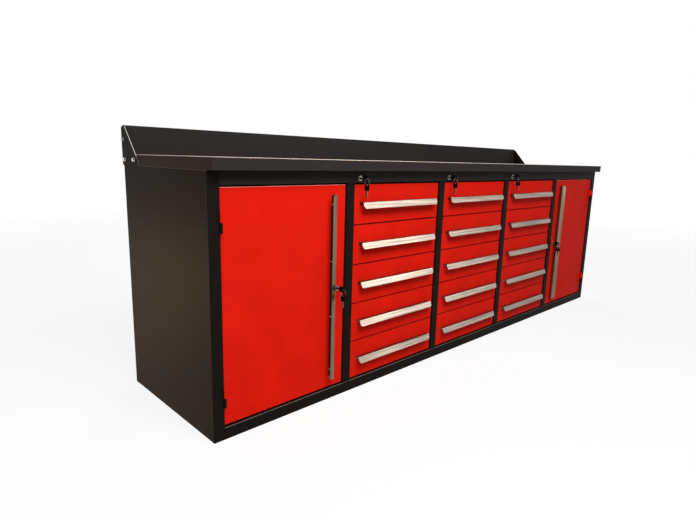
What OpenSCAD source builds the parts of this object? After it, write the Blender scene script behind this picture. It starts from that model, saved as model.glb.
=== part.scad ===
// Long steel workbench: a cupboard at each end, three banks of five drawers between them, and a low upstand
// along the back of the worktop. The bench faces -Y and stands on z = 0, with its origin in the middle of
// its footprint.

/* [Bench] */
// Length of the carcass and of the worktop
bench_w = 2860; // [2740:10:3000]
// Depth of the carcass, from its front frame to its back
carcass_d = 625; // [600:5:680]
// Height of the carcass under the worktop
carcass_h = 869; // [840:1:900]
// Thickness of the carcass sheet
sheet = 1.5; // [1.2:0.1:2]
// Outer radius of the bends in the carcass sheet
bend_r = 2.5; // [2.2:0.1:3]
// Width of the corner posts and of the uprights between the bays
post_w = 40; // [36:1:44]
// Height of the front rail over the doors and drawers
top_rail_h = 45; // [42:1:50]
// Height of the plinth below the doors and drawers
plinth_h = 42; // [38:1:46]
// Width of the gap beside doors and drawer fronts, and between the drawers of a bank
gap = 2.5; // [2:0.1:3]

/* [Worktop] */
// Thickness of the worktop
worktop_t = 39; // [34:1:44]
// How far the worktop stands out past the front of the carcass
overhang = 31; // [24:1:36]
// Height of the upstand over the worktop
upstand_h = 104; // [90:1:120]
// Depth of the upstand from front to back
upstand_d = 21; // [18:1:24]
// Thickness of the upstand's end brackets
bracket_t = 3; // [2:0.5:4]

/* [Doors and drawers] */
// Number of drawers in a bank
rows = 5; // [3:1:5]
// How far doors and drawer fronts stand back in their openings
front_recess = 6; // [4:0.5:8]
// Gap over and under the doors and the banks of drawers
head_gap = 5; // [4:0.5:6]
// Thickness of the sheet of doors, drawer fronts and trays
panel_sheet = 1.2; // [1:0.1:1.5]
// Depth of the folded doors and drawer fronts
panel_d = 20; // [18:1:22]
// Height of the drawer trays
tray_h = 118; // [100:1:122]
// Length of the drawer trays behind their fronts
tray_l = 540; // [520:5:560]
// Length of each member of the drawer slides
slide_l = 520; // [450:10:520]
// Thickness of a pair of slide members between the tray and the upright
slide_t = 12.7; // [12.5:0.1:13.5]

/* [Handles] */
// How far a handle's web reaches forwards from its front
handle_reach = 18; // [16:0.5:20]
// How much further forwards the free edge of its lip stands
lip_flare = 9; // [6:0.5:10]
// Thickness of the stainless strip
strip_t = 1.5; // [1.2:0.1:2]
// Height of the folded lip of a drawer handle
drawer_lip = 24; // [20:1:28]
// Width of the folded lip of a door handle
door_lip = 26; // [20:1:28]
// Length of a door handle
door_handle_l = 702; // [600:1:740]

/* [Hinges] */
// Diameter of the hinge knuckles
knuckle_d = 8.8; // [8:0.1:9]
// Diameter of the hinge pins
pin_d = 5; // [4:0.1:5.2]
// Length of each knuckle
knuckle_l = 33; // [26:1:36]
// How far the hinge axis lies in front of the door
hinge_out = 4.8; // [4.7:0.1:5.4]

/* [Locks and keys] */
// Diameter of the lock's front flange
lock_d = 22.5; // [20:0.5:24]
// Distance of a drawer lock from the left edge of its bank
bank_lock_x = 25; // [22:1:40]
// Distance of a door lock from the free edge of the door
door_lock_x = 35; // [33:1:38]
// Radius of the key ring, at the middle of its wire
ring_r = 11.5; // [11.5:0.1:12]
// Width of a key's head
key_head_w = 24; // [22:0.5:24]

/* [Hidden] */
$fn = 48;
eps = 1;
red_paint = "#d8210f";
black_paint = "#23201e";
stainless = "#c9c2b6";
zinc = "#b9bcbe";
chrome_metal = "#d9dadb";
board = "#b79a72";
key_plastic = "#151515";

// bays: cupboard, three banks of drawers, cupboard
bays = 5;
opening_w = (bench_w - (bays + 1) * post_w) / bays;
opening_z = plinth_h;
opening_h = carcass_h - top_rail_h - plinth_h;
front_w = opening_w - 2 * gap;
front_h = (opening_h - 2 * head_gap - (rows - 1) * gap) / rows;
door_h = opening_h - 2 * head_gap;
function bay_x(i) = post_w + i * (opening_w + post_w);
function row_z(row) = opening_z + head_gap + (rows - row) * (front_h + gap);

// sheets of the carcass
back_t = 1.2;
inner_d = carcass_d - back_t;
rail_d = 28;
post_lip = 30;
floor_lip = 20;
rail_lip = 10;
worktop_lip = 45;
upstand_lip = 8;
core_clearance = 1;
pilaster_w = 30;
pilaster_y = [60, 520];
bench_top = carcass_h + worktop_t;

// shelves of the cupboards
shelf_z = 440;
shelf_t = 25;
shelf_y = 50;
shelf_l = 560;
shelf_play = 1.5;
shelf_lip = 15;
peg_d = 6;
peg_play = 0.2;
peg_pitch = 50;
peg_z = shelf_z - shelf_t - peg_d / 2;
peg_steps = [-5:5];
peg_bite = 8;
peg_reach = 10;

// upstand and its brackets, as [y, z, corner radius]
upstand_y = carcass_d - upstand_d;
bracket_back = 3;
bracket_low = carcass_h - 4;
bracket_top = bench_top + upstand_h - 5;
bracket_outline = [
    [upstand_y - 134, bracket_low, 10],
    [carcass_d + bracket_back, bracket_low, 15],
    [carcass_d + bracket_back, bracket_top, 5],
    [upstand_y - 7, bracket_top, 3],
];
bolt_d = 8;
bolt_play = 0.4;
bolt_l = 20;
bolt_head_d = 15;
bolt_head_t = 5;
washer_d = 15.6;
washer_t = 1.5;
bolt_sites = [
    [upstand_y + upstand_d / 2, bench_top + 53],
    [upstand_y - 1, bench_top - worktop_t / 2],
    [upstand_y - 84, bench_top - worktop_t / 2],
];

// doors and drawers
fold_r = 2;
door_lip_d = 14;
stiffener_w = 60;
stiffener_end = 30;
front_lip = 30;
tray_t = 1;
tray_rise = 8;
tray_hem = 8;
tray_w = opening_w - 2 * slide_t;
access_d = 9;
slide_y = 25;
slide_z = 60;
outer_slide = [9.5, 36, 6];
inner_slide = [9.5, 22, 5];
slide_sheet = 1.2;
slide_r = 1.8;

// handles: flared lip, web and a narrow flange that is screwed to the front
strip_bend = 2;
flange_w = 12;
lip_corner = 12;
drawer_handle_l = front_w - 64;
drawer_handle_z = front_h - 67;
door_handle_x = 56;
screws = 4;
screw_d = 4;
screw_play = 0.4;
screw_inset = 35;
screw_drop = (flange_w + strip_t) / 2;

// lift-off hinges, with their split at these heights
hinge_z = [147, 713];
hinge_play = 0.05;
hinge_split = 0.3;
pin_l = 26;
pin_end = 1;
leaf_t = 1.4;
leaf_l = 22;

// locks: flanged barrel in the sheet, with a plug that turns in it
bank_lock_z = opening_z + opening_h + 17;
door_lock_z = opening_z + opening_h / 2;
flange_t = 3;
flange_rim = 1;
barrel_d = 18;
barrel_play = 0.2;
barrel_l = 20;
nut_af = 23;
nut_t = 4;
plug_d = 12;
plug_play = 0.05;
plug_proud = 0.6;
cam_t = 2;
cam_w = 13;
cam_r = [4, 3];
cam_gap = 0.3;
bank_cam = 18;
door_cam = 45;
key_start = 17;
key_head_l = 26;
key_head_r = [3, 7];
key_taper = 1;
key_hole_d = 6.5;
key_hole_in = 6;
key_t = 2.6;
blade_w = 8;
blade_t = 2.2;
blade_l = 24;
blade_r = [1, 3];
blade_root = 2;
ring_wire = 1.5;
ring_drop = 0.6;
keeper_y = [front_recess + 20, front_recess + 26];
keeper_sweep = 31;
keeper_play = 9;

// the keys hang furthest forwards, and the brackets stand furthest back
key_y = -(key_start + key_head_l - key_hole_in);
reach_front = key_head_w / 2 - key_y;
front_y = (reach_front - carcass_d - bracket_back) / 2;

BANKS = ["left", "middle", "right"];
SIDES = ["left", "right"];

// ---- shapes that the pieces share ----

function unit(v) = v / norm(v);
function flat(p) = [p.x, p.y];
function arm(p, i, step) = unit(flat(p[(i + len(p) + step) % len(p)]) - flat(p[i]));
function half_angle(p, i) = acos(arm(p, i, -1) * arm(p, i, 1)) / 2;
function tangent_points(p) = [
    for (i = [0:len(p) - 1], step = [-1, 1]) flat(p[i]) + p[i].z / tan(half_angle(p, i)) * arm(p, i, step)
];

// Convex outline through the corners [x, y, radius], as the polygon of its tangent points and a disc in each
// corner
module rounded_outline(p) {
    polygon(tangent_points(p));
    for (i = [0:len(p) - 1])
        if (p[i].z > 0)
            translate(flat(p[i]) + p[i].z / sin(half_angle(p, i)) * unit(arm(p, i, -1) + arm(p, i, 1)))
                circle(p[i].z);
}

// Rectangle from the origin, with one radius on its two lower and another on its two upper corners
module rounded_rect(w, h, low_r, high_r) {
    rounded_outline([[0, 0, low_r], [w, 0, low_r], [w, h, high_r], [0, h, high_r]]);
}

// Block w x l x d with its four top edges rounded, as a bend leaves them
module bent_block(w, l, d, r) {
    intersection() {
        translate([0, l, 0]) rotate([90, 0, 0]) linear_extrude(l) rounded_rect(w, d, 0, r);
        rotate([90, 0, 90]) linear_extrude(w) rounded_rect(l, d, 0, r);
    }
}

// Sheet w x l with all four edges folded down by d, and a lip along each free edge folded inwards
module folded_pan(w, l, d, t, r, lip) {
    difference() {
        bent_block(w, l, d, r);
        translate([t, t, t]) bent_block(w - 2 * t, l - 2 * t, d - 2 * t, r - t);
        translate([lip, lip, -eps]) cube([w - 2 * lip, l - 2 * lip, t + 2 * eps]);
    }
}

// C section: web on the left, two flanges of width w, and lips that leave a slot on the right
module lipped_channel(w, h, lip, t, r) {
    difference() {
        rounded_rect(w, h, r, r);
        translate([t, t]) rounded_rect(w - 2 * t, h - 2 * t, r - t, r - t);
        translate([w - t - eps, lip]) square([t + 2 * eps, h - 2 * lip]);
    }
}

// Turns a pan so that its face looks forwards, with the face in the plane y = 0
module facing_front(d) {
    translate([0, d, 0]) rotate([90, 0, 0]) children();
}

// Runs a profile drawn in y and z along x
module along_x(l) {
    rotate([90, 0, 90]) linear_extrude(l) children();
}

// Runs a profile drawn in x and z backwards along y
module along_y(l) {
    translate([0, l, 0]) rotate([90, 0, 0]) linear_extrude(l) children();
}

// From the bench's left front corner to the shared origin
module place() {
    translate([-bench_w / 2, front_y, 0]) children();
}

// The same piece at the left end and, mirrored, at the right end
module at_end(side) {
    place()
        if (side == "left") children();
        else translate([bench_w, 0, 0]) mirror([1, 0, 0]) children();
}

function bank_bay(bank) = bay_x(search([bank], BANKS)[0] + 1);

// ---- worktop and upstand ----

module worktop_skin() {
    color(black_paint) place() difference() {
        translate([0, -overhang, carcass_h])
            folded_pan(bench_w, carcass_d + overhang, worktop_t, sheet, bend_r, worktop_lip);
        for (site = [bolt_sites[1], bolt_sites[2]])
            bolt_hole(site);
    }
}

module worktop_core() {
    inset = sheet + core_clearance;
    color(board) place() difference() {
        translate([inset, inset - overhang, carcass_h + sheet])
            cube([bench_w - 2 * inset, carcass_d + overhang - 2 * inset, worktop_t - 2 * sheet]);
        for (site = [bolt_sites[1], bolt_sites[2]], x = [0, bench_w])
            translate([x, site.x, site.y])
                rotate([0, 90, 0]) cylinder(d = bolt_d + bolt_play, h = 3 * bolt_l, center = true);
    }
}

module upstand() {
    color(black_paint) place() difference() {
        translate([0, upstand_y, bench_top])
            facing_front(upstand_d)
                folded_pan(bench_w, upstand_h, upstand_d, panel_sheet, fold_r, upstand_lip);
        bolt_hole(bolt_sites[0]);
    }
}

// Clearance hole for a bolt, right along the bench
module bolt_hole(site) {
    translate([-bracket_t - eps, site.x, site.y])
        rotate([0, 90, 0]) cylinder(d = bolt_d + bolt_play, h = bench_w + 2 * bracket_t + 2 * eps);
}

module upstand_brackets() {
    color(black_paint) place() difference() {
        for (x = [-bracket_t, bench_w])
            translate([x, 0, 0]) along_x(bracket_t) rounded_outline(bracket_outline);
        for (site = bolt_sites) bolt_hole(site);
    }
}

// Hexagon head bolts with a washer face, three through each bracket
module upstand_bolts() {
    color(zinc) for (side = SIDES, site = bolt_sites) at_end(side)
        translate([-bracket_t, site.x, site.y]) rotate([0, 90, 0]) {
            translate([0, 0, -washer_t - bolt_head_t]) cylinder(d = bolt_head_d, h = bolt_head_t, $fn = 6);
            translate([0, 0, -washer_t]) cylinder(d = washer_d, h = washer_t);
            translate([0, 0, -washer_t]) cylinder(d = bolt_d, h = bolt_l + washer_t);
        }
}

// ---- carcass ----

// Frame half of a lift-off hinge: knuckle and leaf welded to the post, with the pin standing up out of it
module frame_hinge(z) {
    translate([gap / 2, -hinge_out, z - knuckle_l]) {
        cylinder(d = knuckle_d, h = knuckle_l);
        cylinder(d = pin_d, h = knuckle_l + pin_l);
    }
    translate([0, -hinge_out, z - knuckle_l]) cube([leaf_t, leaf_l, knuckle_l]);
}

// Folded side of the carcass. Its front fold is the corner post, and two hollow pilasters carry shelf pegs
module side_panel(side) {
    color(black_paint) at_end(side) difference() {
        union() {
            translate([post_w, 0, 0]) rotate([0, -90, 0])
                folded_pan(carcass_h, carcass_d, post_w, sheet, bend_r, post_lip);
            for (y = pilaster_y) translate([sheet, y, sheet])
                linear_extrude(carcass_h - 2 * sheet) difference() {
                    square([post_w - sheet, pilaster_w]);
                    translate([0, sheet]) square([post_w - 2 * sheet, pilaster_w - 2 * sheet]);
                }
            for (z = hinge_z) translate([post_w, 0, 0]) frame_hinge(z);
        }
        for (y = pilaster_y, step = peg_steps)
            translate([post_w - sheet - eps, y + pilaster_w / 2, peg_z + step * peg_pitch])
                rotate([0, 90, 0]) cylinder(d = peg_d + peg_play, h = sheet + 2 * eps);
    }
}

module back_panel() {
    color(black_paint) place()
        translate([post_w, inner_d, 0]) cube([bench_w - 2 * post_w, back_t, carcass_h]);
}

// Channel welded under the floor below an upright, to take its load to the ground
module base_channel() {
    h = plinth_h - sheet;
    along_y(inner_d - 2 * floor_lip) difference() {
        rounded_rect(post_w, h, 0, bend_r);
        translate([sheet, -eps]) rounded_rect(post_w - 2 * sheet, h - sheet + eps, 0, bend_r - sheet);
    }
}

// Floor of all bays, folded down in front to make the plinth
module floor_panel() {
    color(black_paint) place() {
        translate([post_w, 0, 0])
            folded_pan(bench_w - 2 * post_w, inner_d, plinth_h, sheet, bend_r, floor_lip);
        for (i = [1:bays - 1]) translate([bay_x(i) - post_w, floor_lip, 0]) base_channel();
    }
}

module top_rail() {
    color(black_paint) place() difference() {
        translate([post_w, 0, carcass_h - top_rail_h]) facing_front(rail_d)
            folded_pan(bench_w - 2 * post_w, top_rail_h, rail_d, sheet, bend_r, rail_lip);
        for (bank = BANKS)
            translate([bank_bay(bank) + bank_lock_x, 0, bank_lock_z]) lock_hole();
    }
}

// Slot in an upright that a door's cam turns into, from above on the left and from below on the right
module keeper_slot(x, above) {
    translate([x - sheet - eps, keeper_y[0], door_lock_z - (above ? keeper_play : keeper_sweep)])
        cube([2 * sheet + 2 * eps, keeper_y[1] - keeper_y[0], keeper_sweep + keeper_play]);
}

// Double-skinned uprights between the bays, notched round the top rail
module partitions() {
    color(black_paint) place() difference() {
        for (i = [1:bays - 1]) translate([bay_x(i) - post_w, 0, plinth_h])
            linear_extrude(carcass_h - plinth_h) difference() {
                rounded_rect(post_w, inner_d, bend_r, 0);
                translate([sheet, sheet])
                    rounded_rect(post_w - 2 * sheet, inner_d - 2 * sheet, bend_r - sheet, 0);
            }
        translate([0, -eps, carcass_h - top_rail_h]) cube([bench_w, rail_d + eps, top_rail_h + eps]);
        keeper_slot(bay_x(1) - post_w, true);
        keeper_slot(bay_x(bays - 1), false);
        for (x = [bay_x(1) - post_w, bay_x(bays - 1)], y = pilaster_y, step = peg_steps)
            translate([x, y + pilaster_w / 2, peg_z + step * peg_pitch])
                rotate([0, 90, 0]) cylinder(d = peg_d + peg_play, h = 2 * sheet + 2 * eps, center = true);
    }
}

// Fixed members of the slides, a lipped channel on both sides of every drawer
module drawer_slides() {
    color(zinc) place() for (bay = [1:3], row = [1:rows])
        translate([bay_x(bay), front_recess + slide_y, row_z(row) + slide_z - outer_slide[1] / 2])
            for (flip = [0, 1]) translate([flip * opening_w, 0, 0]) mirror([flip, 0, 0])
                along_y(slide_l)
                    lipped_channel(outer_slide[0], outer_slide[1], outer_slide[2], slide_sheet, slide_r);
}

// ---- shelves ----

// Folded shelf of each cupboard, lying on four pegs
module shelves() {
    color(black_paint) for (side = SIDES) at_end(side) {
        translate([post_w + shelf_play, shelf_y, shelf_z - shelf_t])
            folded_pan(opening_w - 2 * shelf_play, shelf_l, shelf_t, panel_sheet, fold_r, shelf_lip);
        for (y = pilaster_y, flip = [0, 1])
            translate([post_w + flip * opening_w, y + pilaster_w / 2, peg_z]) mirror([flip, 0, 0])
                rotate([0, 90, 0]) translate([0, 0, -peg_bite])
                    cylinder(d = peg_d, h = peg_bite + peg_reach);
    }
}

// ---- locks and keys, drawn round the axis of the lock with the sheet's front face in y = 0 ----

// Points a z-axis shape forwards or backwards along y
module backwards(from) {
    translate([0, from, 0]) rotate([-90, 0, 0]) children();
}

// Hole for a lock's barrel, through the sheet
module lock_hole() {
    rotate([90, 0, 0]) cylinder(d = barrel_d + barrel_play, h = 8 * sheet, center = true);
}

// Flanged barrel with its nut behind the sheet
module lock_barrel(sheet_t) {
    difference() {
        union() {
            backwards(-flange_t) cylinder(d1 = lock_d - 2 * flange_rim, d2 = lock_d, h = flange_rim);
            backwards(flange_rim - flange_t) cylinder(d = lock_d, h = flange_t - flange_rim);
            backwards(0) cylinder(d = barrel_d, h = barrel_l);
            backwards(sheet_t) cylinder(d = nut_af / cos(30), h = nut_t, $fn = 6);
        }
        backwards(-flange_t - eps) cylinder(d = plug_d, h = barrel_l + flange_t + 2 * eps);
    }
}

// Outline of a key's head, with the blade leaving it at the origin
module key_head() {
    half = key_head_w / 2;
    end = half - key_taper;
    rounded_outline([
        [0, -half, key_head_r[0]],
        [key_head_l, -end, key_head_r[1]],
        [key_head_l, end, key_head_r[1]],
        [0, half, key_head_r[0]],
    ]);
}

// Outline of a blade, from inside the head to a tip that is cut back on one side
module key_blade(l) {
    rounded_outline([
        [-l, key_taper - blade_w / 2, blade_r[0]],
        [blade_root, -blade_w / 2, 0],
        [blade_root, blade_w / 2, 0],
        [-l, blade_w / 2, blade_r[1]],
    ]);
}

// Flat key in the plane z = 0: the head runs from the origin along x, and the blade the other way
module flat_key(blade) {
    difference() {
        translate([0, 0, -key_t / 2]) linear_extrude(key_t) key_head();
        translate([key_head_l - key_hole_in, 0, -key_t]) cylinder(d = key_hole_d, h = 2 * key_t);
    }
    translate([0, 0, -blade_t / 2]) linear_extrude(blade_t) key_blade(blade);
}

// Outline of a cam that reaches l from the axis of its plug
module cam_plate(l) {
    rounded_outline([
        [-cam_w / 2, -cam_w / 2, cam_r[0]],
        [l, -cam_w / 2, cam_r[1]],
        [l, cam_w / 2, cam_r[1]],
        [-cam_w / 2, cam_w / 2, cam_r[0]],
    ]);
}

// Plug with its cam and the key that stands in it. The cam is turned by the angle up from the right
module turning_key(cam, angle) {
    plug_start = -flange_t - plug_proud;
    plug_end = barrel_l + cam_gap + cam_t;
    color(chrome_metal) backwards(plug_start)
        cylinder(r = plug_d / 2 - plug_play, h = plug_end - plug_start);
    color(zinc) backwards(barrel_l + cam_gap) linear_extrude(cam_t) rotate(-angle) cam_plate(cam);
    color(key_plastic) translate([0, -key_start, 0])
        rotate([90, 0, -90]) flat_key(key_start - flange_t);
}

// Ring through the standing key's head, with the spare key hanging on it
module spare_key() {
    ring_z = -ring_r - ring_drop;
    hole_z = ring_z - ring_r - ring_drop;
    color(zinc) translate([0, key_y, ring_z]) rotate([90, 0, 0])
        rotate_extrude() translate([ring_r, 0]) circle(d = ring_wire);
    color(key_plastic) translate([0, key_y, hole_z - (key_head_l - key_hole_in)])
        rotate([0, -90, 0]) flat_key(blade_l);
}

module at_bank_lock(bank) {
    place() translate([bank_bay(bank) + bank_lock_x, 0, bank_lock_z]) children();
}

// The right door's lock sits as far from its own free edge, on the left
module at_door_lock(side) {
    x = side == "left" ? bay_x(0) + gap + front_w - door_lock_x : bay_x(bays - 1) + gap + door_lock_x;
    place() translate([x, front_recess, door_lock_z]) children();
}

module bank_lock_barrels() {
    color(chrome_metal) for (bank = BANKS) at_bank_lock(bank) lock_barrel(sheet);
}

// ---- doors ----

// Door half of a lift-off hinge: a blind knuckle that drops over the pin
module door_hinge(z) {
    translate([gap / 2, -hinge_out, z + hinge_split]) cylinder(d = knuckle_d, h = knuckle_l);
    translate([gap - leaf_t, -hinge_out, z + hinge_split])
        cube([leaf_t + panel_sheet / 2, leaf_l, knuckle_l]);
}

module door_hinge_bore(z) {
    translate([gap / 2, -hinge_out, z + hinge_split - eps])
        cylinder(r = pin_d / 2 + hinge_play, h = pin_l + eps + pin_end);
}

// Channel that stiffens a door, open towards its face
module door_stiffener() {
    depth = panel_d - 2 * panel_sheet;
    linear_extrude(door_h - 2 * stiffener_end) translate([-stiffener_w / 2, 0]) difference() {
        square([stiffener_w, depth]);
        translate([panel_sheet, -eps]) square([stiffener_w - 2 * panel_sheet, depth - panel_sheet + eps]);
    }
}

// Folded door with a stiffener down its middle
module door(side) {
    handle_x = gap + front_w - door_handle_x - screw_drop;
    color(red_paint) at_end(side) translate([bay_x(0), 0, 0]) difference() {
        union() {
            translate([gap, front_recess, opening_z + head_gap]) facing_front(panel_d)
                folded_pan(front_w, door_h, panel_d, panel_sheet, fold_r, door_lip_d);
            translate([opening_w / 2, front_recess + panel_sheet, opening_z + head_gap + stiffener_end])
                door_stiffener();
            for (z = hinge_z) door_hinge(z);
        }
        for (z = hinge_z) door_hinge_bore(z);
        translate([gap + front_w - door_lock_x, front_recess, door_lock_z]) lock_hole();
        for (i = [0:screws - 1])
            translate([
                handle_x, front_recess, door_lock_z - door_handle_l / 2 + screw_x(door_handle_l, i)
            ]) screw_hole(screw_d);
    }
}

// ---- handles ----

// Section of a handle strip: flange against the front panel, web on top, and a lip in front that leans out
module handle_section(lip) {
    edge = -handle_reach - lip_flare;
    inner_bend = strip_t * (norm([lip, lip_flare]) - lip_flare) / lip - handle_reach;
    inner_edge = inner_bend - lip_flare * (1 + (eps - strip_t) / lip);
    difference() {
        rounded_outline([[edge, -lip, 0], [0, -lip, 0], [0, 0, strip_bend], [-handle_reach, 0, strip_bend]]);
        rounded_outline([
            [inner_edge, -lip - eps, 0],
            [-strip_t, -lip - eps, 0],
            [-strip_t, -strip_t, strip_bend - strip_t],
            [inner_bend, -strip_t, strip_bend - strip_t],
        ]);
        translate([-strip_t - eps, -lip - eps]) square([strip_t + 2 * eps, lip - flange_w + eps]);
    }
}

// Handle strip along x, with the lower corners of its lip rounded and screw holes in its flange
module handle_strip(l, lip) {
    difference() {
        intersection() {
            along_x(l) handle_section(lip);
            translate([0, -handle_reach - lip_flare - eps, -lip])
                along_y(handle_reach + lip_flare + 2 * eps) rounded_rect(l, lip, lip_corner, 0);
        }
        for (i = [0:screws - 1])
            translate([screw_x(l, i), 0, -screw_drop]) screw_hole(screw_d + screw_play);
    }
}

function screw_x(l, i) = screw_inset + i * (l - 2 * screw_inset) / (screws - 1);

// Hole along y, through the sheet at y = 0
module screw_hole(d) {
    rotate([90, 0, 0]) cylinder(d = d, h = 4 * strip_t, center = true);
}

module drawer_handle(bank, row) {
    color(stainless) place() translate([
        bank_bay(bank) + (opening_w - drawer_handle_l) / 2, front_recess, row_z(row) + drawer_handle_z
    ]) handle_strip(drawer_handle_l, drawer_lip);
}

// Upright handle, open towards the hinges
module door_handle(side) {
    color(stainless) at_end(side) translate([
        bay_x(0) + gap + front_w - door_handle_x, front_recess, door_lock_z - door_handle_l / 2
    ]) rotate([0, -90, 0]) mirror([0, 0, 1]) handle_strip(door_handle_l, door_lip);
}

module door_lock(side) {
    color(chrome_metal) at_door_lock(side) lock_barrel(panel_sheet);
}

// ---- drawers ----

// Folded front with the holes for its handle's screws
module drawer_front() {
    difference() {
        translate([gap, 0, 0]) facing_front(panel_d)
            folded_pan(front_w, front_h, panel_d, panel_sheet, fold_r, front_lip);
        drawer_screws() screw_hole(screw_d);
    }
}

// Open tray, with a hem along its rim and holes in front that give access to the handle's screws
module tray() {
    difference() {
        translate([slide_t, panel_d, tray_rise + tray_h]) mirror([0, 0, 1])
            folded_pan(tray_w, tray_l, tray_h, tray_t, fold_r, tray_hem);
        drawer_screws() translate([0, panel_d, 0]) screw_hole(access_d);
    }
}

// The child at each screw of the drawer's handle
module drawer_screws() {
    handle_x = (opening_w - drawer_handle_l) / 2;
    for (i = [0:screws - 1])
        translate([handle_x + screw_x(drawer_handle_l, i), 0, drawer_handle_z - screw_drop]) children();
}

// Front, tray, and the running member of a slide on each side
module drawer(bank, row) {
    color(red_paint) place() translate([bank_bay(bank), front_recess, row_z(row)]) {
        drawer_front();
        tray();
        for (flip = [0, 1]) translate([flip * opening_w, 0, 0]) mirror([flip, 0, 0])
            translate([slide_t, slide_y, slide_z - inner_slide[1] / 2]) mirror([1, 0, 0]) along_y(slide_l)
                lipped_channel(inner_slide[0], inner_slide[1], inner_slide[2], slide_sheet, slide_r);
    }
}

worktop_skin();
worktop_core();
upstand();
upstand_brackets();
upstand_bolts();
back_panel();
floor_panel();
top_rail();
partitions();
drawer_slides();
bank_lock_barrels();
shelves();
for (side = SIDES) {
    side_panel(side);
    door(side);
    door_handle(side);
    door_lock(side);
    at_door_lock(side) turning_key(door_cam, side == "left" ? 90 : -90);
    at_door_lock(side) spare_key();
}
for (bank = BANKS) {
    at_bank_lock(bank) turning_key(bank_cam, 90);
    at_bank_lock(bank) spare_key();
    for (row = [1:rows]) {
        drawer(bank, row);
        drawer_handle(bank, row);
    }
}
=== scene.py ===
"""Long steel workbench in a white studio: how its sheets, coats, handles, locks and keys look."""
import math

import bmesh
import bpy
import numpy as np
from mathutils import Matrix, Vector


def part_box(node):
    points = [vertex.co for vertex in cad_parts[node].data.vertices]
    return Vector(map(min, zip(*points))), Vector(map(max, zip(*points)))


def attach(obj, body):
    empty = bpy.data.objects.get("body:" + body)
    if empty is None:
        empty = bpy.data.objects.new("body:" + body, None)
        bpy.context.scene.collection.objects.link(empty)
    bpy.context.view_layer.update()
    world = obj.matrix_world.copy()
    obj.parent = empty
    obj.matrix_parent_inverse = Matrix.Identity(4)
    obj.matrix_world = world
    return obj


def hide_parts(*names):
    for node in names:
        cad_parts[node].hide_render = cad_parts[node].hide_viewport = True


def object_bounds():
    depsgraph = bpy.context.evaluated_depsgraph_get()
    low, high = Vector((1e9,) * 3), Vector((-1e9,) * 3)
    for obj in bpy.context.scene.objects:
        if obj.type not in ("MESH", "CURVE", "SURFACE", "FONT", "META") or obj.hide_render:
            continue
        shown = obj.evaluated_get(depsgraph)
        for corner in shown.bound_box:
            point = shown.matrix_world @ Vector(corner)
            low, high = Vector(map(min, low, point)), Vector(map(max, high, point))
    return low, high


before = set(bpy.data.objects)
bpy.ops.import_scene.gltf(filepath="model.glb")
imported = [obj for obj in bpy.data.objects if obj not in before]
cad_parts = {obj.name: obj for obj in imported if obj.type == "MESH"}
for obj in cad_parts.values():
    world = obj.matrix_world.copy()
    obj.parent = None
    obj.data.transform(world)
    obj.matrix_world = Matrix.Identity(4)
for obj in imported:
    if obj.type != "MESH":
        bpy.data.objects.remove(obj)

cad_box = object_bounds()
scene = bpy.context.scene
scene.view_settings.view_transform = "Standard"


# ---- camera ----
# A wide lens stands a long step off the bench's left front corner, with the eye just above the
# worktop, so that the top shows as a thin line and the far end runs away small.

camera = bpy.data.objects.new("camera", bpy.data.cameras.new("camera"))
camera.data.sensor_width = 36
camera.data.lens = 26.417
camera.location = (-2.1699, -1.6536, 0.91)
camera.rotation_euler = [math.radians(angle) for angle in (78.834, -1.457, -43.701)]
scene.collection.objects.link(camera)
scene.camera = camera


# ---- studio ----
# A white floor and room, plain white to the lens and in metal apart from the bench's soft shadow. Large
# lamps light the fronts from above, the handles from the right and the back from behind, and two warm
# ones near the floor give the left end the glow of light that the ground throws back.

WHITE = (1, 1, 1, 1)
ROOM_LIGHT = 0.15       # strength of the room where it lights the bench
SHADOW_SHARE = 0.15     # share of the floor's look that the lamps and the shadow make near the bench
SHADOW_FADES = 2, 7     # metres from the bench's middle between which that share falls to 0
FLOOR_BOUNCE = 0.6      # grey of the floor where it lights the bench
FLOOR_GREY = 0.95       # grey of the floor where it is seen
FLOOR_REACH = 60
FLOOR_GAP = 0.0005


def shader_graph(owner):
    """Empties the node tree of a material or world, and returns a function that adds a node to it.
    The added node's inputs are values or other nodes' outputs, and its settings are the node's own
    properties."""
    owner.use_nodes = True
    tree = owner.node_tree
    tree.nodes.clear()

    def add(kind, inputs=None, **settings):
        node = tree.nodes.new("ShaderNode" + kind)
        for key, value in settings.items():
            setattr(node, key, value)
        for socket, value in (inputs or {}).items():
            if isinstance(value, bpy.types.NodeSocket):
                tree.links.new(value, node.inputs[socket])
            else:
                node.inputs[socket].default_value = value
        return node

    return add


def maths(add, operation, *values):
    """The result of a Math node's operation on one, two or three values."""
    return add("Math", dict(enumerate(values)), operation=operation).outputs[0]


def between(add, value, low, high):
    """Maps a value between 0 and 1 to a number between low and high."""
    return add("MapRange", {0: value, "To Min": low, "To Max": high}).outputs[0]


def seen_directly(add):
    """1 for the rays that show floor and room to the lens, in metal or through glass, and 0 for
    those that light the bench."""
    path = add("LightPath")
    seen = maths(add, "MAXIMUM", path.outputs["Is Camera Ray"], path.outputs["Is Glossy Ray"])
    return maths(add, "MAXIMUM", seen, path.outputs["Is Transmission Ray"])


world = bpy.data.worlds.new("white_room")
scene.world = world
add = shader_graph(world)
strength = between(add, seen_directly(add), ROOM_LIGHT, 1)
add("OutputWorld", {0: add("Background", {"Color": WHITE, "Strength": strength}).outputs[0]})

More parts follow.
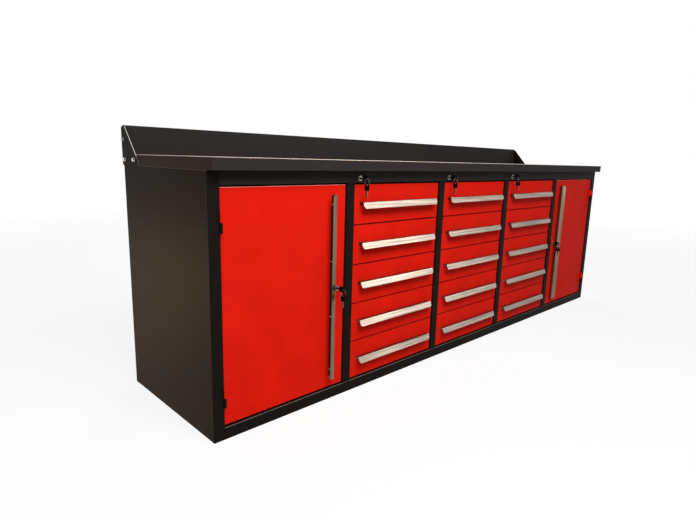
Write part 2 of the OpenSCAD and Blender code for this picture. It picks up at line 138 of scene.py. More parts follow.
floor_material = bpy.data.materials.new("white_floor")
add = shader_graph(floor_material)
away = add("VectorMath", {0: add("TexCoord").outputs["Object"]}, operation="LENGTH").outputs["Value"]
plain = add("MapRange", {
    0: away, "From Min": SHADOW_FADES[0], "From Max": SHADOW_FADES[1],
    "To Min": 1 - SHADOW_SHARE, "To Max": 1,
}).outputs[0]
seen = seen_directly(add)
mix = add("MixShader", {
    0: maths(add, "MULTIPLY", seen, plain),
    1: add("BsdfDiffuse", {"Color": between(add, seen, FLOOR_BOUNCE, FLOOR_GREY)}).outputs[0],
    2: add("Emission", {"Color": WHITE, "Strength": 1}).outputs[0],
})
add("OutputMaterial", {0: mix.outputs[0]})

floor_corners = [(x * FLOOR_REACH, y * FLOOR_REACH, 0) for x, y in ((-1, -1), (1, -1), (1, 1), (-1, 1))]
floor_mesh = bpy.data.meshes.new("floor")
floor_mesh.from_pydata(floor_corners, [], [(0, 1, 2, 3)])
floor_mesh.materials.append(floor_material)
floor = bpy.data.objects.new("floor", floor_mesh)
floor.location.z = cad_box[0].z - FLOOR_GAP
scene.collection.objects.link(floor)


def lamp(name, width, height, power, colour, place, target):
    """A rectangular lamp at a place, turned towards a target and hidden from the lens."""
    made = bpy.data.objects.new(name, bpy.data.lights.new(name, "AREA"))
    made.data.shape = "RECTANGLE"
    made.data.size = width
    made.data.size_y = height
    made.data.energy = power
    made.data.color = colour
    made.location = place
    x, y, z = np.subtract(target, place)
    made.rotation_euler = (math.atan2(math.hypot(x, y), -z), 0, math.atan2(-x, y))
    made.visible_camera = False
    scene.collection.objects.link(made)
    return made


# Each lamp has its width and height in metres, its power in watts, its colour, place and target.
WARM = (1, 0.62, 0.3)
key_light = lamp("key_light", 2.2, 1.4, 124, (1, 0.985, 0.97), (-1.4, -2.15, 3.05), (-0.75, -0.29, 0.25))
handle_light = lamp("handle_light", 1.5, 3, 122, (1, 0.955, 0.905), (2.6, -3.6, 2.5), (-0.85, -0.35, 0.6))
floor_glow = lamp("floor_glow", 1, 0.5, 6, WARM, (-2.25, 0.5, 0.27), (-1.43, 0.1, 0.27))
side_light = lamp("side_light", 1, 0.5, 0.8, WARM, (-2.4, 1.7, 0.24), (-1.43, 0.05, 0.3))
back_light = lamp("back_light", 3, 1.6, 70, WHITE[:3], (1.9, 2.8, 2.2), (0.4, 0.2, 0.4))
key_light.visible_glossy = False
back_light.visible_glossy = False
handle_light.visible_diffuse = False

bench_only = bpy.data.collections.new("bench_only")
bench_only.objects.link(floor)
bench_only.collection_objects[0].light_linking.link_state = "EXCLUDE"
for warm_light in (floor_glow, side_light):
    warm_light.data.spread = math.radians(85)
    warm_light.light_linking.receiver_collection = bench_only


# ---- carcass ----
# Side panels, floor, uprights, front rail, back and shelves: steel sheet of 1.5 mm, folded, welded to
# one another and coated black in one go. The coat is satin, with the faint orange peel of baked powder,
# a painted highlight in paler grey on the upper bends, and the rail's coat painted a shade paler to
# lighten the shadow under the worktop.

BLACK = (0.0095, 0.0078, 0.0065, 1)
# painted highlight: the grey that the black coat shows on its upper bends
BEND_HIGHLIGHT_GREY = (0.15, 0.122, 0.1, 1)
# painted light: the rail's black is paler, to lighten the worktop's shadow on it
RAIL_LIGHTENED_BLACK = (0.022, 0.0175, 0.0165, 1)
UPPER_BENDS = 0.6, 0.38     # sine of their slope in the middle, and how far they reach from it


def finish(name, shader):
    """A material from a function that takes the graph's adder and returns the shader's output."""
    material = bpy.data.materials.new(name)
    add = shader_graph(material)
    add("OutputMaterial", {0: shader(add)})
    return material


def object_point(add, scale=(1, 1, 1)):
    """The place on the piece in metres, times a scale along each axis."""
    place = add("TexCoord").outputs["Object"]
    return add("Mapping", {"Vector": place, "Scale": scale}, vector_type="POINT").outputs[0]


def cloud(add, per_metre, detail=2, stretch=(1, 1, 1)):
    """Soft noise between 0 and 1, with so many patches to the metre along each axis, times the
    axis's share in stretch."""
    point = object_point(add, tuple(per_metre * share for share in stretch))
    return add("TexNoise", {"Vector": point, "Scale": 1, "Detail": detail}).outputs[0]


def blended(add, value, low, high):
    """Blends two colours by a value between 0 and 1."""
    return add("Mix", {0: value, 6: low, 7: high}, data_type="RGBA").outputs[2]


def bumped(add, height, depth, strength=1, over=None):
    """The direction of a surface with a relief of a depth in metres, over another relief if it has
    one."""
    inputs = {"Strength": strength, "Distance": depth, "Height": height}
    if over:
        inputs["Normal"] = over
    return add("Bump", inputs).outputs[0]


def orange_peel(add, depth, waves):
    """Bump of baked powder: shallow pits two or three millimetres apart, over the slow waves of a
    thin sheet where it has any."""
    peel = bumped(add, cloud(add, 420, 1), depth)
    return bumped(add, cloud(add, 5, 1), waves, over=peel) if waves else peel


def powder(add, colour, roughness, specular, peel, waves=0.0, unevenness=0.06, bare=None):
    """Baked powder on steel: one colour, a little uneven over a hand's breadth, with orange peel.
    Where the mask in bare is 1, the metal shows, in the colour and roughness that follow the mask."""
    level = between(add, cloud(add, 7), 1 - unevenness, 1 + unevenness)
    shade = add("Mix", {0: 1, 6: colour, 7: level}, data_type="RGBA", blend_type="MULTIPLY").outputs[2]
    rough = between(add, cloud(add, 60), roughness - 0.04, roughness + 0.04)
    metallic = 0
    if bare:
        metallic, metal, metal_rough = bare
        shade = blended(add, metallic, shade, metal)
        rough = add("Mix", {0: metallic, 2: rough, 3: metal_rough}, data_type="FLOAT").outputs[0]
    return add("BsdfPrincipled", {
        "Base Color": shade, "Roughness": rough, "Metallic": metallic, "Specular IOR Level": specular,
        "Normal": orange_peel(add, peel, waves),
    }).outputs[0]


def on_bends(add, middle, half):
    """1 where the surface faces upwards by about the sine in middle, give or take half: on the
    bends of a fold, above or below, but not on the flat sheet."""
    up = add("SeparateXYZ", {0: add("NewGeometry").outputs["Normal"]}).outputs[2]
    away = maths(add, "ABSOLUTE", maths(add, "SUBTRACT", up, middle))
    return add("MapRange", {0: away, "From Min": half, "From Max": half - 0.1}).outputs[0]


def dress(material, slot, *nodes):
    """Gives nodes of the frame a finish."""
    for node in nodes:
        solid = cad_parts[node]
        solid.data.materials.clear()
        solid.data.materials.append(material)


def black_powder(add):
    """Black powder with a painted highlight: paler grey on the upper bends."""
    shade = blended(add, on_bends(add, *UPPER_BENDS), BLACK, BEND_HIGHLIGHT_GREY)
    return powder(add, shade, roughness=0.48, specular=0.02, peel=0.00004)


def rail_lightened_powder(add):
    """The same powder, painted a shade paler to lighten the shadow that the worktop casts on the rail, and
    without the highlight on the bends.
    """
    return powder(add, RAIL_LIGHTENED_BLACK, roughness=0.48, specular=0.02, peel=0.00004)


dress(finish("black_powder_coat", black_powder), "black_powder_coat", "side_panel_left",
      "side_panel_right", "back_panel", "floor_panel", "partitions", "shelves")
dress(finish("rail_lightened_coat", rail_lightened_powder), "black_powder_coat", "top_rail")


# ---- worktop ----
# A tray of folded sheet, coated a shade lighter than the carcass, over a core of particle board that
# carries the load. The board shows only from inside the cupboards.

TOP_BLACK = (0.031, 0.0265, 0.0255, 1)
# painted highlight: the pale metal shown along the worktop's upper bends
BEND_HIGHLIGHT_METAL = (0.72, 0.6, 0.51, 1)
DARK_CHIP = (0.24, 0.15, 0.075, 1)
PALE_CHIP = (0.52, 0.37, 0.22, 1)


def worktop_powder(add):
    """Powder with a painted highlight along the upper bends, drawn as bare metal and stronger in one
    place than in the next."""
    bend_highlight = maths(add, "MULTIPLY", on_bends(add, *UPPER_BENDS), between(add, cloud(add, 12, 3), 0.45, 1.15))
    bare = maths(add, "MINIMUM", bend_highlight, 1), BEND_HIGHLIGHT_METAL, 0.38
    return powder(add, TOP_BLACK, roughness=0.42, specular=0.01, peel=0.00003, bare=bare)


def particle_board(add):
    """Flat chips of many browns, pressed so that they lie along the board."""
    chips = add("TexVoronoi", {"Vector": object_point(add, (260, 260, 700)), "Scale": 1})
    shade = add("SeparateColor", {0: chips.outputs["Color"]}).outputs[0]
    return add("BsdfPrincipled", {
        "Base Color": blended(add, shade, DARK_CHIP, PALE_CHIP), "Roughness": 0.85,
        "Normal": bumped(add, chips.outputs["Distance"], 0.0003, 0.6),
    }).outputs[0]


dress(finish("worktop_coat", worktop_powder), "worktop_coat", "worktop_skin")
dress(finish("core_board", particle_board), "core_board", "worktop_core")


# ---- upstand ----
# A folded strip along the back of the worktop, held at each end by a cut steel plate. The plates are
# coated too, their cut edges carry a painted highlight of pale bare metal, and three zinc-plated bolts hold
# each.

# painted highlight: the two metal tones of the plates' cut edges
EDGE_HIGHLIGHT_DARK = (0.3, 0.29, 0.27, 1)
EDGE_HIGHLIGHT_PALE = (0.75, 0.73, 0.7, 1)
ZINC = (0.66, 0.67, 0.68, 1)
ZINC_ROUGHNESS = 0.34
MM = 0.001
BOLT_RISE = 53 * MM             # of the upper bolt, over the worktop
BOLT_STEPS = 1 * MM, 84 * MM    # of the two lower bolts, forward of the upstand


def upstand_powder(add):
    """The worktop's powder, with nothing rubbed away."""
    return powder(add, TOP_BLACK, roughness=0.42, specular=0.02, peel=0.00003)


def bracket_powder(add):
    """Powder with a painted highlight of pale bare metal where the surface doesn't face along the bench,
    which on an end plate is its cut edge."""
    facing = add("SeparateXYZ", {0: add("NewGeometry").outputs["Normal"]}).outputs[0]
    edge = maths(add, "LESS_THAN", maths(add, "ABSOLUTE", facing), 0.5)
    metal = blended(add, cloud(add, 90, 3), EDGE_HIGHLIGHT_DARK, EDGE_HIGHLIGHT_PALE)
    return powder(add, BLACK, roughness=0.45, specular=0.02, peel=0.00003, bare=(edge, metal, 0.4))


def shaded(colour, factor):
    """A colour made darker or paler by a factor."""
    return tuple(min(1, share * factor) for share in colour[:3]) + (1,)


def plated(add, colour, roughness, per_metre=300):
    """Plated steel: a metal with a fine mottled dulling."""
    spots = cloud(add, per_metre, 3)
    return add("BsdfPrincipled", {
        "Base Color": blended(add, spots, shaded(colour, 0.85), shaded(colour, 1.08)),
        "Metallic": 1,
        "Roughness": between(add, spots, roughness - 0.06, roughness + 0.08),
        "Normal": bumped(add, spots, 0.00002, 0.4),
    }).outputs[0]


dress(finish("upstand_coat", upstand_powder), "black_powder_coat", "upstand")
dress(finish("bracket_coat", bracket_powder), "black_powder_coat", "upstand_brackets")
zinc = finish("zinc_plate", lambda add: plated(add, ZINC, ZINC_ROUGHNESS))


def surface(points, close_u=False, close_v=False):
    """Faces over a grid of points: each face joins four neighbours in rows and columns, and a closed
    direction joins its last row or column to its first."""
    rows, columns = points.shape[:2]
    i = np.arange(rows if close_u else rows - 1)[:, None]
    j = np.arange(columns if close_v else columns - 1)[None, :]
    below, beside = (i + 1) % rows, (j + 1) % columns
    corners = [i * columns + j, i * columns + beside, below * columns + beside, below * columns + j]
    return points.reshape(-1, 3), np.stack(corners, -1).reshape(-1, 4)


def joined(surfaces):
    """Several surfaces as one list of points and faces."""
    starts = np.cumsum([0] + [len(points) for points, _ in surfaces])
    return (np.concatenate([points for points, _ in surfaces]),
            np.concatenate([faces + start for (_, faces), start in zip(surfaces, starts)]))


def turned(shape, x, y, z):
    """A shape laid along other axes. Each new number of a point takes shares of its three old ones
    and adds a place: x, y and z are (share of first, share of second, share of third, place)."""
    points, faces = shape
    axes = np.array([x, y, z], float)
    return points @ axes[:, :3].T + axes[:, 3], faces


def piece(name, shape, material, slot, body, *replaced):
    """An object of points and faces on a body, with its seams and poles closed, its faces outwards
    and its edges sharp where they turn by more than 32 degrees."""
    points, faces = shape
    mesh = bpy.data.meshes.new(name)
    mesh.from_pydata(points.tolist(), [], faces.tolist())
    shell = bmesh.new()
    shell.from_mesh(mesh)
    bmesh.ops.remove_doubles(shell, verts=shell.verts, dist=1e-6)
    bmesh.ops.dissolve_degenerate(shell, edges=shell.edges, dist=1e-7)
    bmesh.ops.recalc_face_normals(shell, faces=shell.faces)
    shell.to_mesh(mesh)
    shell.free()
    mesh.shade_smooth()
    mesh.set_sharp_from_angle(angle=math.radians(32))
    mesh.materials.append(material)
    made = bpy.data.objects.new(name, mesh)
    scene.collection.objects.link(made)
    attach(made, body)
    if replaced:
        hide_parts(*replaced)


def hexagon_bolt(flats, height, washer_r, washer_t, shank_r, shank_l):
    """Hexagon head with washer and shank, its washer's underside at 0 and its head along the third
    axis. Round the axis, the head's radius is the hexagon's distance at that angle, and a cone of
    30 degrees cuts its top corners; washer, shank and both poles follow as further rings."""
    angle = np.linspace(0, 2 * np.pi, 48, endpoint=False)
    ring = np.ones_like(angle)
    hexagon = flats / 2 / np.cos((angle + np.pi / 6) % (np.pi / 3) - np.pi / 6)
    crown = 0.93 * flats / 2
    chamfer = np.tan(np.radians(30)) * (hexagon - crown)
    top = washer_t + height
    rings = [
        (0 * ring, top), (crown * ring, top), (hexagon, top - chamfer), (hexagon, washer_t),
        (washer_r * 0.97 * ring, washer_t), (washer_r * ring, washer_t * 0.85), (washer_r * ring, 0),
        (shank_r * ring, 0), (shank_r * ring, -shank_l), (0 * ring, -shank_l),
    ]
    radius = np.stack([out for out, _ in rings])
    level = np.stack([up * ring for _, up in rings])
    return surface(np.stack([radius * np.cos(angle), radius * np.sin(angle), level], -1), close_v=True)


plate_low, plate_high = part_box("upstand_brackets")
upstand_low, upstand_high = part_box("upstand")
top_low, top_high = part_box("worktop_skin")
skin_middle = (top_low.z + top_high.z) / 2
bolt_places = [((upstand_low.y + upstand_high.y) / 2, top_high.z + BOLT_RISE)]
bolt_places += [(upstand_low.y - step, skin_middle) for step in BOLT_STEPS]
bolt = hexagon_bolt(flats=13 * MM, height=5 * MM, washer_r=7.8 * MM, washer_t=1.5 * MM,
                    shank_r=4 * MM, shank_l=20 * MM)
piece("upstand_bolt_heads", joined([
    turned(bolt, (0, 0, side, x), (1, 0, 0, y), (0, 1, 0, z))
    for side, x in ((-1, plate_low.x), (1, plate_high.x)) for y, z in bolt_places
]), zinc, "zinc_plate", "carcass", "upstand_bolts")


# ---- slides ----
# Rolled steel channels, zinc-plated: one is welded to the upright on each side of a drawer, and the
# drawer carries the other.

dress(zinc, "zinc_plate", "drawer_slides")


# ---- doors and drawers ----
# Folded steel of 1.2 mm, coated red. The doors hang on two lift-off hinges, whose upper knuckles are welded
# to them and coated with them. A drawer is a front and a tray welded together, and only its slide members
# are bare.

RED = (0.72, 0.0125, 0.005, 1)
# painted highlight: the pale red of the doors' upper bends
BEND_HIGHLIGHT_RED = (0.95, 0.42, 0.36, 1)
# painted shade: the dark red of the drawers' upper bends, in the gaps between them
GAP_SHADE_RED = (0.14, 0.007, 0.004, 1)
# painted shade: the near-black under the lower bends
UNDER_BEND_SHADE = (0.016, 0.003, 0.002, 1)
PAN_BENDS_ABOVE = 0.6, 0.35
PAN_BENDS_BELOW = -0.53, 0.47
TRAY_INSET = 10.1 * MM      # from the front's edge to the tray's wall
FRONT_DEPTH = 20.5 * MM     # from the front's face to behind its folds
SIDES = ("left", "right")
BANKS = ("left", "middle", "right")
ROWS = (1, 2, 3, 4, 5)

drawer_low, drawer_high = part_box("drawer_left_1")
front = drawer_low.y
bank_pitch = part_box("drawer_middle_1")[0].x - drawer_low.x
bank_middle = (drawer_low.x + drawer_high.x) / 2
flank = (drawer_high.x - drawer_low.x) / 2 - TRAY_INSET


def red_powder(add, above, bare=None):
    """Red powder with painted light on its bends: a painted shade under the lower bends, and a tone of
    its own on the upper ones, a painted highlight on the doors or a painted shade in the gaps between
    the drawers."""
    shade = blended(add, on_bends(add, *PAN_BENDS_ABOVE), RED, above)
    shade = blended(add, on_bends(add, *PAN_BENDS_BELOW), shade, UNDER_BEND_SHADE)
    # painted reflection: the strong unevenness of the red stands in for soft cloudy highlights of a
    # slightly wavy sheet
    return powder(add, shade, roughness=0.36, specular=0.01, peel=0.00003, waves=0.0004,
                  unevenness=0.16, bare=bare)


def slide_members(add):
    """Zinc where a drawer is wider than its tray and behind its front. The distance from the middle
    of the nearest bank is the same in all of them."""
    at = add("SeparateXYZ", {0: object_point(add)})
    across = maths(add, "PINGPONG", maths(add, "SUBTRACT", at.outputs[0], bank_middle), bank_pitch / 2)
    beside = maths(add, "GREATER_THAN", across, flank)
    behind = maths(add, "GREATER_THAN", at.outputs[1], front + FRONT_DEPTH)
    return maths(add, "MULTIPLY", beside, behind), ZINC, ZINC_ROUGHNESS


door_coat = finish("red_powder_coat", lambda add: red_powder(add, BEND_HIGHLIGHT_RED))
drawer_coat = finish("drawer_coat", lambda add: red_powder(add, GAP_SHADE_RED, slide_members(add)))
drawers = [f"{bank}_{row}" for bank in BANKS for row in ROWS]
dress(door_coat, "red_powder_coat", *[f"door_{side}" for side in SIDES])
dress(drawer_coat, "red_powder_coat", *[f"drawer_{drawer}" for drawer in drawers])


# ---- handles ----
# Strips of brushed stainless steel, folded into a channel with a lip in front. Four pan-head screws with
# cross recesses go through a narrow flange into the front; on the doors they show beside the lip.

ACROSS = (0.105, 0.083, 0.067, 1), (0.35, 0.295, 0.25, 1)
# painted shade: the door handles' steel is darker and browner than the drawers', for the dim surroundings
# it reflects
UPRIGHT_SHADED = (0.105, 0.078, 0.05, 1), (0.28, 0.22, 0.15, 1)
STRIP_T = 1.5 * MM
FLANGE_MIDDLE = 6.75 * MM   # from the web's outer face to the screws
END_TO_SCREW = 35 * MM
SCREWS = 4


def brushed(add, along, dark, pale):
    """Brushed stainless: hairlines a fraction of a millimetre apart that run on along one axis, and
    broad faint bands where the belt pressed harder."""
    hairlines = cloud(add, 1600, 2, [0.004 if axis == along else 1 for axis in range(3)])
    bands = cloud(add, 210, 3, [0.022 if axis == along else 1 for axis in range(3)])
    tone = maths(add, "ADD", maths(add, "MULTIPLY", hairlines, 0.35), maths(add, "MULTIPLY", bands, 0.65))
    tone = add("MapRange", {0: tone, "From Min": 0.36, "From Max": 0.64}).outputs[0]
    return add("BsdfPrincipled", {
        "Base Color": blended(add, tone, dark, pale), "Metallic": 1,
        "Roughness": between(add, hairlines, 0.27, 0.4),
        "Normal": bumped(add, hairlines, 0.00003, 0.5),
    }).outputs[0]


brushed_across = finish("brushed_across", lambda add: brushed(add, 0, *ACROSS))
brushed_upright = finish("brushed_upright", lambda add: brushed(add, 2, *UPRIGHT_SHADED))
dress(brushed_across, "handle_stainless", *[f"handle_{drawer}" for drawer in drawers])
dress(brushed_upright, "handle_stainless", *[f"door_handle_{side}" for side in SIDES])


def pan_head(radius, height):
    """Screw head along the third axis. Over the share of its radius and the angle, its height is a
    flattened dome, less a cross recess that deepens towards the middle along four arms; its last
    ring is its foot."""
    share = np.array([0, 0.16, 0.3, 0.48, 0.66, 0.84, 0.96, 1, 1])[:, None]
    angle = np.linspace(0, 2 * np.pi, 24, endpoint=False)[None, :]
    arm = np.cos(2 * angle) ** 2 > 0.9
    recess = 0.75 * np.clip(1 - share / 0.56, 0, 1) ** 0.6 * np.where(arm | (share < 0.1), 1, 0.15)
    dome = (1 - share ** 2.6) ** 0.5 - recess
    dome[-1] = 0
    out = radius * share
    return surface(np.stack([out * np.cos(angle), out * np.sin(angle), height * dome], -1), close_v=True)


screw_steel = finish("screw_steel", lambda add: plated(add, (0.72, 0.7, 0.66, 1), 0.26, 500))
screw = pan_head(3.7 * MM, 2.4 * MM)


def handle_screws(handle, body, upright):
    """The screws of a handle, evenly spaced between its ends, on the middle line of its flange. An
    upright handle has its web, and so its flange, at the end that is nearer the free edge of its
    door."""
    low, high = np.array(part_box(handle))
    start, end = (low[2], high[2]) if upright else (low[0], high[0])
    places = np.linspace(start + END_TO_SCREW, end - END_TO_SCREW, SCREWS)
    y = front - STRIP_T
    if upright:
        x = high[0] - FLANGE_MIDDLE if high[0] < 0 else low[0] + FLANGE_MIDDLE
        heads = [turned(screw, (1, 0, 0, x), (0, 0, -1, y), (0, 1, 0, place)) for place in places]
    else:
        z = high[2] - FLANGE_MIDDLE
        heads = [turned(screw, (1, 0, 0, place), (0, 0, -1, y), (0, 1, 0, z)) for place in places]
    piece(handle + "_screws", joined(heads), screw_steel, "zinc_plate", body)


for side in SIDES:
    handle_screws(f"door_handle_{side}", f"door_{side}", upright=True)
for drawer in drawers:
    handle_screws(f"handle_{drawer}", f"drawer_{drawer}", upright=False)


# ---- locks ----
# Cam locks of chromed die-cast zinc: a flanged barrel, held by a nut behind the sheet, and a plug
# that turns in it with the key. The plug's rear end carries a plated cam under a hexagon screw.

FLANGE_T = 3 * MM
PLUG_R = 5.95 * MM
PLUG_FACE = -3.6 * MM       # places of the plug's face and end, behind the face of the sheet
PLUG_END = 20.3 * MM
CAM_T = 2 * MM
CAM_HALF = 6.5 * MM
CAM_BEVEL = 0.2 * MM
CAM_HOLE_R = 2.5 * MM
DOOR_CAM = 45 * MM          # cams' lengths from their screws
BANK_CAM = 18 * MM

# painted reflection: the chrome and the plug are dark, standing in for the dark surroundings they reflect
chrome = finish("lock_chrome", lambda add: plated(add, (0.21, 0.19, 0.165, 1), 0.16, 150))
plug_metal = finish("plug_metal", lambda add: plated(add, (0.13, 0.1, 0.078, 1), 0.3, 300))
dress(chrome, "lock_chrome", "bank_lock_barrels", "door_lock_left", "door_lock_right")


def lock_plug(radius, face, end):
    """Plug with a keyhole. A square of two parameters from -1 to 1 is bent into the round face, so
    that the keyhole is the part where the first is small and the second isn't near the edge; the
    square's own rim is then carried back as the plug's wall and drawn together at its end."""
    u = np.array([-1, -0.97, -0.8, -0.55, -0.24, -0.22, 0.22, 0.24, 0.55, 0.8, 0.97, 1])
    v = np.array([-1, -0.97, -0.85, -0.76, -0.74, -0.4, 0, 0.4, 0.74, 0.76, 0.85, 0.97, 1])
    u, v = np.meshgrid(u, v, indexing="ij")
    keyhole = (abs(u) < 0.23) & (abs(v) < 0.75)
    rim = np.maximum(abs(u), abs(v)) > 0.99
    depth = np.where(keyhole, 1.4 * MM, np.where(rim, 0.3 * MM, 0))
    across, up = u * np.sqrt(1 - v ** 2 / 2), v * np.sqrt(1 - u ** 2 / 2)
    disc = np.stack([radius * across, face + depth, radius * up], -1)
    edge = np.concatenate([disc[:-1, 0], disc[-1, :-1], disc[:0:-1, -1], disc[0, :0:-1]])
    tail = edge * [1, 0, 1] + [0, end, 0]
    wall = np.stack([edge, tail, tail * [0, 1, 0]])
    return joined([surface(disc), surface(wall, close_v=True)])


def rounded_outline(corners, radii, steps=9):
    """Points round a convex outline: at each corner an arc that touches both sides, whose centre
    lies on the corner's bisector at the radius over the sine of half its angle."""
    corners, radii = np.array(corners, float), np.array(radii, float)[:, None]
    before = np.roll(corners, 1, 0) - corners
    after = np.roll(corners, -1, 0) - corners
    before /= np.linalg.norm(before, axis=1, keepdims=True)
    after /= np.linalg.norm(after, axis=1, keepdims=True)
    half = np.arccos((before * after).sum(1, keepdims=True)) / 2
    middle = before + after
    middle /= np.linalg.norm(middle, axis=1, keepdims=True)
    centre = corners + radii / np.sin(half) * middle
    start = corners + radii / np.tan(half) * before - centre
    sweep = (np.pi - 2 * half) * np.linspace(0, 1, steps)
    way = -np.sign(before[:, :1] * after[:, 1:] - before[:, 1:] * after[:, :1])
    cos, sin = np.cos(sweep * way), np.sin(sweep * way)
    arc = np.stack([start[:, :1] * cos - start[:, 1:] * sin, start[:, :1] * sin + start[:, 1:] * cos], -1)
    return (centre[:, None] + arc).reshape(-1, 2)


def plate_with_hole(outline, hole, hole_r, section):
    """Plate round a hole. Along every ray from the hole's centre to the outline runs one closed
    section, whose points are (share of the way from the hole's edge to the outline, distance beyond
    that, height)."""
    ray = outline - hole
    reach = np.linalg.norm(ray, axis=1, keepdims=True)
    share, beyond, height = np.array(section, float).T
    along = hole_r + share * (reach - hole_r) + beyond
    flat = hole + (ray / reach)[:, None] * along[..., None]
    level = np.broadcast_to(height, along.shape)[..., None]
    return surface(np.concatenate([flat, level], -1), close_u=True, close_v=True)


def cam_plate(length):
    """Cam of a lock, from its screw hole to its rounded end, with broken edges."""
    outline = rounded_outline(
        [(-CAM_HALF, -CAM_HALF), (length, -CAM_HALF), (length, CAM_HALF), (-CAM_HALF, CAM_HALF)],
        [4 * MM, 3 * MM, 3 * MM, 4 * MM])
    section = [(0, 0, 0), (0, 0, CAM_T), (1, -CAM_BEVEL, CAM_T), (1, 0, CAM_T - CAM_BEVEL),
               (1, 0, CAM_BEVEL), (1, -CAM_BEVEL, 0)]
    return plate_with_hole(outline, np.zeros(2), CAM_HOLE_R, section)


# The barrel of each key's lock, and its place: its axis along the bench, the face of the sheet that
# it goes through, and its axis's height.
barrels = {f"door_key_{side}": f"door_lock_{side}" for side in SIDES}
barrels.update({f"bank_key_{bank}": "bank_lock_barrels" for bank in BANKS})
lock_places = {}
for key, barrel in barrels.items():
    low, high = np.array(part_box(barrel))
    lock_places[key] = np.mean(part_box(key), 0)[0], low[1] + FLANGE_T, (low[2] + high[2]) / 2

plug = lock_plug(PLUG_R, PLUG_FACE, PLUG_END)
cam_screw = hexagon_bolt(flats=7 * MM, height=2.6 * MM, washer_r=4.2 * MM, washer_t=0.5 * MM,
                         shank_r=2.4 * MM, shank_l=2 * MM)
for key, (x, sheet, z) in lock_places.items():
    up = -1 if key == "door_key_right" else 1       # all cams point up but the right door's
    cam = cam_plate(DOOR_CAM if key.startswith("door") else BANK_CAM)
    piece(key.replace("key", "lock") + "_plug", joined([
        turned(plug, (1, 0, 0, x), (0, 1, 0, sheet), (0, 0, 1, z)),
        turned(cam, (0, -up, 0, x), (0, 0, 1, sheet + PLUG_END), (up, 0, 0, z)),
        turned(cam_screw, (1, 0, 0, x), (0, 0, 1, sheet + PLUG_END + CAM_T), (0, -1, 0, z)),
    ]), plug_metal, "lock_chrome", key)


# ---- keys ----
# In every lock stands a flat key: a nickelled brass blade moulded into a black plastic head. A split
# ring through the head's hole carries the spare key, which hangs edge-on to the front.

HEAD_L = 26 * MM
HEAD_T = 2.6 * MM
ROOT_HALF = 12 * MM         # half the head's width at the blade and at its end
END_HALF = 11 * MM
HOLE_IN = 6 * MM            # from the head's end to the middle of its hole
HOLE_R = 3.25 * MM
BLADE_T = 2.2 * MM
BLADE_HALF = 4 * MM
STANDING_BLADE = 14 * MM    # from the head to just behind the plug's face
SPARE_BLADE = 24 * MM
KEY_START = 17 * MM         # from the face of the sheet to the head of a standing key
RING_R = 11.5 * MM
RING_DROP = 0.6 * MM        # play of the ring in each hole
WIRE = 1.5 * MM


def key_head():
    """Moulded head, wide at the blade and tapering to a rounder end, with a raised rim along its
    outline and a raised eye round its hole."""
    outline = rounded_outline(
        [(0, -ROOT_HALF), (HEAD_L, -END_HALF), (HEAD_L, END_HALF), (0, ROOT_HALF)],
        [3 * MM, 7 * MM, 7 * MM, 3 * MM])
    face, field = HEAD_T / 2, HEAD_T / 2 - 0.35 * MM
    side = [(0, 0, face - 0.3 * MM), (0, 0.3 * MM, face), (0, 0.7 * MM, face), (0, 0.9 * MM, field),
            (1, -1.5 * MM, field), (1, -1.3 * MM, face), (1, -0.6 * MM, face),
            (1, -0.2 * MM, face - 0.15 * MM), (1, 0, face - 0.5 * MM)]
    section = side + [(share, beyond, -height) for share, beyond, height in reversed(side)]
    return plate_with_hole(outline, np.array([HEAD_L - HOLE_IN, 0]), HOLE_R, section)


def drawn_round(rows):
    """Surface through closed rings of points, drawn together in the middle of the first and last."""
    ends = rows[[0, -1]].mean(1, keepdims=True) * np.ones((1, rows.shape[1], 1))
    return surface(np.concatenate([ends[:1], rows, ends[1:]]), close_v=True)


def key_blade(length, cut_from):
    """Blade that leaves the head backwards along the first axis. Along its length, the far edge is
    cut by flat notches of different depths and rounded off at the tip. Round it runs a section with
    bevelled edges and a groove in both faces, drawn out to the width that the edges leave."""
    along = np.linspace(-2 * MM, length, 90)
    notch = np.array([3.0, 6.2, 9.4, 12.6, 15.8])[:, None] * MM + cut_from
    depth = np.array([1.2, 2.1, 0.8, 1.7, 1.3])[:, None] * MM
    cuts = (depth * np.clip(1.3 - abs(along - notch) / (1.3 * MM), 0, 1)).sum(0)

    def rounding(radius):
        """How far a quarter circle at the tip draws an edge in, over the blade's length."""
        into = np.clip(along - (length - radius), 0, radius)
        return radius - np.sqrt(radius ** 2 - into ** 2)

    upper = BLADE_HALF - np.maximum(cuts, rounding(3 * MM))
    lower = rounding(1 * MM) - BLADE_HALF
    across = np.array([-1, -0.94, -0.3, -0.2, 0.1, 0.2, 0.94, 1])
    thick = np.array([0.7, 1, 1, 0.5, 0.5, 1, 1, 0.7]) * BLADE_T / 2
    across, thick = np.concatenate([across, across[::-1]]), np.concatenate([thick, -thick[::-1]])
    middle, half = (upper + lower) / 2, (upper - lower) / 2
    back = -along[:, None] + 0 * across
    return drawn_round(np.stack([back, middle[:, None] + half[:, None] * across, thick + 0 * back], -1))


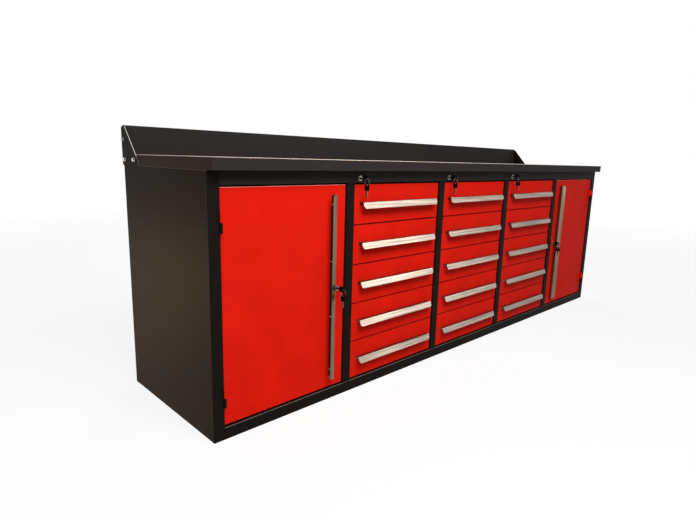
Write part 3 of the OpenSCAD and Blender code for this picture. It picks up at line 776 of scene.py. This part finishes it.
def split_ring(radius):
    """Two turns of flattened wire in a plane. Over two rounds of the angle, the wire lies half its
    width to one side, and then steps over to the other; round it runs a rounded section, closed at
    both cut ends."""
    angle = np.linspace(0, 4 * np.pi - 0.15, 200)[:, None]
    step = np.clip((angle - 2 * np.pi + 0.35) / 0.7, 0, 1)
    aside = WIRE / 4 * (2 * step * step * (3 - 2 * step) - 1)
    turn = np.linspace(0, 2 * np.pi, 12, endpoint=False)[None, :]
    out = radius + WIRE / 2 * np.sign(np.cos(turn)) * abs(np.cos(turn)) ** 0.7
    level = aside + 0.94 * WIRE / 4 * np.sign(np.sin(turn)) * abs(np.sin(turn)) ** 0.7
    return drawn_round(np.stack([out * np.cos(angle), out * np.sin(angle), level + 0 * angle], -1))


def moulded_plastic(add):
    """Black plastic from a finely eroded mould."""
    return add("BsdfPrincipled", {
        "Base Color": (0.003, 0.003, 0.003, 1), "Roughness": between(add, cloud(add, 900), 0.38, 0.55),
        "Specular IOR Level": 0.08, "Normal": bumped(add, cloud(add, 2500), 0.00003, 0.5),
    }).outputs[0]


key_plastic = finish("key_plastic", moulded_plastic)
key_nickel = finish("key_nickel", lambda add: plated(add, (0.24, 0.19, 0.145, 1), 0.3, 400))
# painted reflection: the ring's steel is dark, standing in for the dark surroundings it reflects
ring_steel = finish("ring_steel", lambda add: plated(add, (0.2, 0.19, 0.18, 1), 0.2, 400))
head = key_head()
standing_blade = key_blade(STANDING_BLADE, STANDING_BLADE)      # its cuts are in the plug
spare_blade = key_blade(SPARE_BLADE, 2 * MM)
ring = split_ring(RING_R)
key_eye = KEY_START + HEAD_L - HOLE_IN                          # hole's distance from the sheet
ring_z = -RING_R - RING_DROP                                    # ring's middle, under the lock's axis
spare_z = ring_z - RING_R - RING_DROP - (HEAD_L - HOLE_IN)      # lower end of the spare key's head
for key, (x, sheet, z) in lock_places.items():
    spare = key.replace("_key", "_spare_key")
    standing = (0, 0, 1, x), (-1, 0, 0, sheet - KEY_START), (0, 1, 0, z)
    hanging = (0, 0, 1, x), (0, 1, 0, sheet - key_eye), (1, 0, 0, z + spare_z)
    upright_ring = (1, 0, 0, x), (0, 0, 1, sheet - key_eye), (0, 1, 0, z + ring_z)
    piece(key + "_head", turned(head, *standing), key_plastic, "key_plastic", key, key)
    piece(key + "_blade", turned(standing_blade, *standing), key_nickel, "zinc_plate", key)
    piece(spare + "_head", turned(head, *hanging), key_plastic, "key_plastic", spare, spare)
    piece(spare + "_blade", turned(spare_blade, *hanging), key_nickel, "zinc_plate", spare)
    piece(spare + "_ring", turned(ring, *upright_ring), ring_steel, "zinc_plate", spare)
